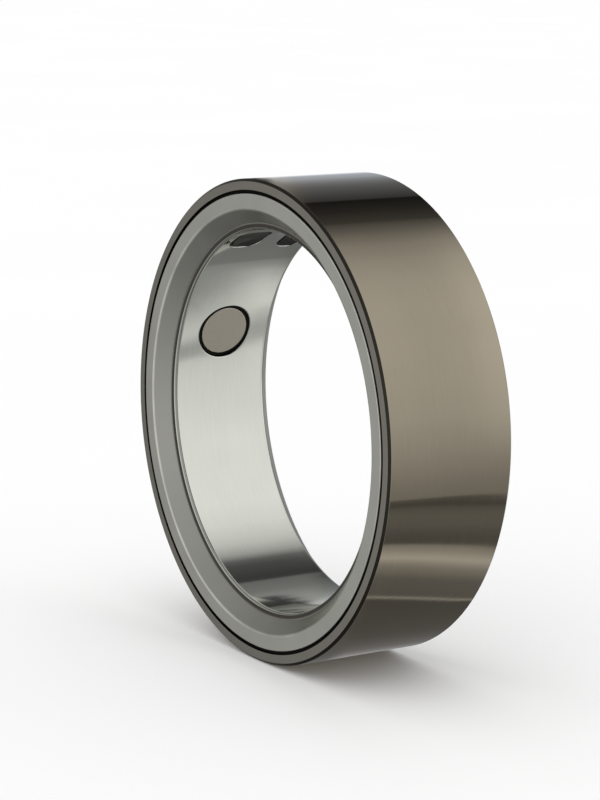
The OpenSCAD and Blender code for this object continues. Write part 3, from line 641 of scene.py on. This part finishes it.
# The two ends: from the bore's last row round the large edge and then the small one, each a quarter
# circle, to the outside's last row
turn = np.radians(column_angles[:-1])
bend = np.linspace(0, np.pi / 2, 9)
radius = np.concatenate([bore_r + liner_round * (1 - np.cos(bend)),
                         liner_out_r - liner_break * (1 - np.sin(bend)), [liner_out_r]])
place = np.concatenate([straight + liner_round * np.sin(bend),
                        liner_end - liner_break * (1 - np.cos(bend)), [straight]])
edge = np.concatenate([[0], np.ones(2 * len(bend) - 2), [0, 0]])
for side in (-1, 1):
    end = np.stack([radius[:, None] * np.cos(turn), side * place[:, None] + 0 * turn,
                    radius[:, None] * np.sin(turn)], axis=-1)
    skins.append((end.reshape(-1, 3), quads(len(radius), liner_columns, closed=False),
                  np.repeat(edge, liner_columns)))

# Polished titanium, uncoated: a bright, slightly soft mirror with fine marks running round the bore
liner_metal = worked_metal("polished titanium", "#d9dbd2", "#e6e7e0", (0.045, 0.08), 0.07, 0.00006,
                           draw=(0.05, 1, 0.05), blotch=3.0)
seat("liner_polished", skins, liner_metal, "liner_metal", "liner")

# --- Lip shade
# A dark bead in the groove between each bezel's lip and the liner, run round over the liner's end as a
# thin film. It is painted shade: a dark sheet where the groove and the liner's rounded end lie in shade.
shade_film_t = 0.007
shade_film_lift = 0.001
shade_film_break = 0.0004
shade_film_turn = np.radians([88, 80, 72, 64, 57])


def over_the_end(lift, turns):
    """Corners that follow the liner's rounded end at a height above it: its centre less the rounding
    and the lift times (cos, sin) of each turn."""
    reach = liner_round + lift
    return [(bore_r + liner_round - reach * np.cos(turn), half_w - straight - reach * np.sin(turn),
             shade_film_break) for turn in turns]


lip_shade_depths = over_the_end(shade_film_t, shade_film_turn[::-1]) + [
    (9.765, 0.7285, 0.03),      # the bead's face, a little sunk
    (9.8185, 0.7215, 0.001),    # its thin edge on the bezel's lip
    (9.8115, 0.775, hair),
    (9.8035, 0.8, hair),        # the bottom of the groove
    (9.779, 0.751, hair),
    (9.725, 0.7293, 0.0005),    # where it leaves the groove, on the liner's end
] + over_the_end(shade_film_lift, shade_film_turn)

# Painted shade: dull dark grey, paling towards its outer edge into the bezel's grey where the shade ends
lip_shade_film = moulded("painted lip shade", "#32302b", "#3e3b35", (0.5, 0.7), 0.04, 0.002, shine=0.2)
tree = lip_shade_film.node_tree
place = add(tree, "ShaderNodeTexCoord").outputs["Object"]
flat_place = add(tree, "ShaderNodeVectorMath", {0: place, 1: (1.0, 0.0, 1.0)}, operation="MULTIPLY")
radius = add(tree, "ShaderNodeVectorMath", {0: flat_place.outputs[0]}, operation="LENGTH")
shade_fade = add(tree, "ShaderNodeMapRange", {"Value": radius.outputs["Value"], "From Min": 9.735 * MM,
                                        "From Max": 9.81 * MM})
tint = tree.nodes["Principled BSDF"].inputs["Base Color"].links[0].from_socket
shown = add(tree, "ShaderNodeMix", {0: shade_fade.outputs[0], 6: tint, 7: linear("#77756e")}, data_type="RGBA")
tree.links.new(shown.outputs[2], tree.nodes["Principled BSDF"].inputs["Base Color"])
# One piece of this painted shade at each end of the bore
for name, side in (("front_lip_painted_shade", -1), ("rear_lip_painted_shade", 1)):
    outline = rounded([(r, side * (half_w - depth), round_r) for r, depth, round_r in lip_shade_depths],
                      hold=0.001)
    seat(name, [turned(outline)], lip_shade_film, "black_seal")

# --- Sensor windows
# Two dark panes of cast optical epoxy, one over the light source and one over the detector. A black
# seal round each stops light from leaking through the liner's wall.
seal_w = 0.12
glass_recess = 0.03
seal_recess = 0.06
pane_break = 0.02
seal_sag = 0.015


def round_ways(count=128):
    """Directions round an opening's middle, as (cos a, sin a) for equal steps of a."""
    angle = np.radians(np.arange(count) * 360 / count)
    return np.stack([np.cos(angle), np.sin(angle)], axis=-1)


def pane(opening, inset, front, back):
    """A curved plate that fills an opening drawn in by inset: rings of points that grow from its
    middle to its outline, then over the broken edge, through its thickness and back to the middle."""
    ways = round_ways()
    rows, edge = [], []
    for size in np.linspace(0, 1, 10) ** 0.7:
        rows.append(round_the_bore(opening, size * opening_rim(opening, ways, inset + pane_break), front))
        edge.append(0)
    for angle in np.linspace(0, np.pi / 2, 5)[1:]:
        rim = opening_rim(opening, ways, inset + pane_break * (1 - np.sin(angle)))
        rows.append(round_the_bore(opening, rim, front + pane_break * (1 - np.cos(angle))))
        edge.append(1)
    for size in (1, 0.5, 0):
        rows.append(round_the_bore(opening, size * opening_rim(opening, ways, inset), back))
        edge.append(0)
    return (np.concatenate(rows), quads(len(rows), len(ways), closed=False),
            np.repeat(np.array(edge, float), len(ways)))


def seal(opening, outer, inner, front, back):
    """A ring between two insets of an opening. Across it the front sinks as the sag times the sine of
    pi * share, as a bead does when it cures between two walls."""
    ways = round_ways()
    share = np.linspace(0, 1, 7)
    rows = [round_the_bore(opening, opening_rim(opening, ways, outer + (inner - outer) * at),
                           front + seal_sag * np.sin(np.pi * at)) for at in share]
    rows += [round_the_bore(opening, opening_rim(opening, ways, inset), back) for inset in (inner, outer)]
    return np.concatenate(rows), quads(len(rows), len(ways)), np.zeros(len(rows) * len(ways))


# Cast optical epoxy: smoky, almost black from outside, with a clear gloss on top
dark_pane = moulded("smoky optical epoxy", "#12100b", "#1b1811", (0.04, 0.09), 0.5, 0.0002, shine=0.08)
seal_black = moulded("cured black sealant", "#050505", "#0b0b0a", (0.4, 0.6), 0.04, 0.002)
for name, node, opening in (("led_pane", "led_window", led_window),
                            ("detector_pane", "detector_window", detector_window)):
    glass = pane(opening, seal_w, bore_r + glass_recess, liner_out_r - fit_gap)
    seat(name, [glass], dark_pane, "dark_glass", node)
    bead = seal(opening, fit_gap, seal_w - fit_gap, bore_r + seal_recess, liner_out_r - fit_gap)
    seat(node + "_bead", [bead], seal_black, "black_seal", node + "_seal")

# --- Charging contact
# A flat turned disc of blasted and coated titanium on a stem that reaches the circuit. It sits in a
# moulded black collar, which insulates it from the liner and seals behind it with a flange.
contact_r = 1.31
contact_recess = 0.02
contact_t = 0.24
contact_break = 0.03
stem_r = 0.6
collar_recess = 0.06
collar_gap = 0.01
flange_r = 1.75
collar_back = 0.35
stem_end = 10.48

lean = np.radians(contact_angle)
contact_axes = np.array([[0, 1, 0], [np.cos(lean), 0, np.sin(lean)], [-np.sin(lean), 0, np.cos(lean)]])
disc_face = bore_r + contact_recess
disc_back = disc_face + contact_t
points_a_corner = 9
disc_side = rounded([
    (0, disc_face, hair),
    (contact_r, disc_face, contact_break),
    (contact_r, disc_back, hair),
    (stem_r, disc_back, hair),
    (stem_r, stem_end, hair),
    (0, stem_end, hair),
], hold=0.003)[points_a_corner:-points_a_corner]
face_rings = [(share * contact_r, disc_face, 0) for share in (0, 0.2, 0.4, 0.6, 0.8, 0.92)]
disc_outline = np.concatenate([face_rings, disc_side, [(stem_r / 2, stem_end, 0), (0, stem_end, 0)]])

# Blasted, coated titanium: a flat warm grey that gives no clear reflection, brighter on its rim
contact_metal = worked_metal("blasted coated titanium", "#cbc4b4", "#ddd8cb", (0.27, 0.35), 0.05, 0.001,
                             blotch=1.2)
seat("contact_disc_blasted", [turned(disc_outline, contact_axes, 192, closed=False)], contact_metal,
     "contact_metal", "contact_disc")

hole_r = contact_hole["corner"] - collar_gap
seat_r = contact_r + collar_gap
collar_face = bore_r + collar_recess
collar_seat = disc_back + collar_gap
flange_front = 9.98
flange_end = liner_out_r + collar_back
collar_break = 0.02
collar_outline = rounded([
    (seat_r, collar_face, collar_break),
    (hole_r, collar_face, collar_break),
    (hole_r, flange_front, hair),
    (flange_r, flange_front, hair),
    (flange_r, flange_end, collar_break),
    (stem_r + collar_gap, flange_end, collar_break),
    (stem_r + collar_gap, collar_seat, hair),
    (seat_r, collar_seat, hair),
], hold=0.003)

# Moulded PEEK filled black: a dull satin with a faint mould grain
collar_black = moulded("moulded black PEEK", "#040403", "#0b0a09", (0.5, 0.7), 0.05, 0.002, shine=0.15)
seat("contact_collar_moulded", [turned(collar_outline, contact_axes, 192)], collar_black,
     "collar_plastic", "contact_collar")


# --- Board carrier
# A moulded frame between the liner and the circuit. It is round inside, flat under each island, and
# its pockets keep the light source apart from the detector.
def dress(finish, *names):
    """Gives nodes of the frame a finish in place of their plain one."""
    for name in names:
        nodes[name].data.materials.clear()
        nodes[name].data.materials.append(finish)


# Glass-filled nylon: charcoal, satin, with short pale streaks of fibre
dress(moulded("glass-filled nylon", "#202226", "#33363b", (0.45, 0.65), 0.08, 0.004), "board_carrier")

# --- Folded circuit
# One polyimide strip with copper tracks, stiffened on both faces by seven pairs of rigid boards and
# notched between them so that it can bend round the finger.
track_pitch = 0.24
polyimide = moulded("polyimide film", "#9a5a14", "#c07a24", (0.22, 0.34), 0.1, 0.0006)
tree = polyimide.node_tree
place = add(tree, "ShaderNodeTexCoord").outputs["Object"]
tracks = add(tree, "ShaderNodeTexWave", {"Vector": place, "Scale": 1 / (3.2 * track_pitch * MM),
                                         "Distortion": 0.0}, bands_direction="Y")
copper = add(tree, "ShaderNodeMapRange", {"Value": tracks.outputs["Fac"], "From Min": 0.45,
                                          "From Max": 0.6, "To Max": 0.55})
tint = tree.nodes["Principled BSDF"].inputs["Base Color"].links[0].from_socket
under = add(tree, "ShaderNodeMix", {0: copper.outputs[0], 6: tint, 7: linear("#7a4410")},
            data_type="RGBA")
tree.links.new(under.outputs[2], tree.nodes["Principled BSDF"].inputs["Base Color"])
dress(polyimide, "flex_strip")

# Fibreglass board under green solder mask: glossy lacquer with the weave just showing through
weave_pitch = 0.12
mask = moulded("green solder mask", "#123c27", "#1d5437", (0.2, 0.32), 0.06, 0.0008)
tree = mask.node_tree
place = add(tree, "ShaderNodeTexCoord").outputs["Object"]
weave = add(tree, "ShaderNodeTexVoronoi", {"Vector": place, "Scale": 1 / (weave_pitch * MM),
                                           "Randomness": 0.15}, distance="CHEBYCHEV")
tint = tree.nodes["Principled BSDF"].inputs["Base Color"].links[0].from_socket
shade = add(tree, "ShaderNodeMix", {0: weave.outputs["Distance"], 6: tint, 7: linear("#2b6a46")},
            data_type="RGBA")
tree.links.new(shade.outputs[2], tree.nodes["Principled BSDF"].inputs["Base Color"])
dress(mask, "island_boards")

# --- Light source and detector
# A white ceramic cup with three light dies behind the first window, and a bare silicon photodiode
# behind the second. Both are soldered to the inner face of the sensor island.
dress(moulded("fired alumina", "#d9d7ce", "#efede6", (0.35, 0.5), 0.03, 0.0015), "led_package")
dress(moulded("silicone-capped light dies", "#3f8a3c", "#7cc96f", (0.15, 0.25), 0.05, 0.0008),
      "led_dies")
dress(worked_metal("coated silicon", "#2a303c", "#3a4250", (0.12, 0.2), 0.2, 0.0002), "photodiode")

# --- Chips
# Moulded epoxy packages on the outer face of the islands: the processor with its radio, the optical
# front end, the charger, the memory, the motion sensor and the guard of the cell.
dress(moulded("moulded chip epoxy", "#151516", "#232325", (0.5, 0.68), 0.04, 0.003), "radio_chip",
      "optical_chip", "power_chip", "memory_chip", "guard_chip")
dress(moulded("moulded sensor epoxy", "#1f1f22", "#2d2d31", (0.42, 0.6), 0.05, 0.003), "motion_sensor")

# --- Small parts
# Crystals in tin-plated cans, a wound inductor pressed from ferrite, ceramic capacitors and the
# thermistor, soldered beside the chips.
dress(worked_metal("tin-plated lid", "#b9b7af", "#d0cec6", (0.22, 0.34), 0.08, 0.0006), "radio_crystal",
      "clock_crystal")
dress(moulded("pressed ferrite", "#393735", "#504d49", (0.45, 0.6), 0.05, 0.004), "power_inductor")
dress(moulded("fired capacitor ceramic", "#8c7352", "#a98f69", (0.35, 0.5), 0.05, 0.002), "capacitors")
dress(moulded("glazed thermistor ceramic", "#2c2823", "#423c34", (0.2, 0.35), 0.06, 0.001), "thermistor")
dress(moulded("soft thermal silicone", "#7f94a2", "#97abb8", (0.6, 0.8), 0.08, 0.004), "thermal_pad")

# --- Aerial spring
# A gold-flashed beryllium copper clip, folded so that its rounded nose presses on the outer band.
dress(worked_metal("gold-flashed copper", "#cda65a", "#e2c586", (0.18, 0.28), 0.06, 0.0004),
      "antenna_spring")

# --- Battery
# A curved pouch cell in laminated foil, bonded to the liner by a foam pad. Two nickel tabs leave its
# thin sealed end and lie on the last island.
dress(worked_metal("laminated pouch foil", "#aeb2b6", "#c6c9cc", (0.28, 0.42), 0.3, 0.006, blotch=2.5),
      "battery_cell")
dress(moulded("bonding foam", "#39433c", "#4d5850", (0.75, 0.9), 0.1, 0.02), "battery_pad")
dress(worked_metal("rolled nickel", "#c3c0b7", "#d8d6ce", (0.2, 0.32), 0.06, 0.0006, draw=(1, 0.05, 1)),
      "battery_tabs")
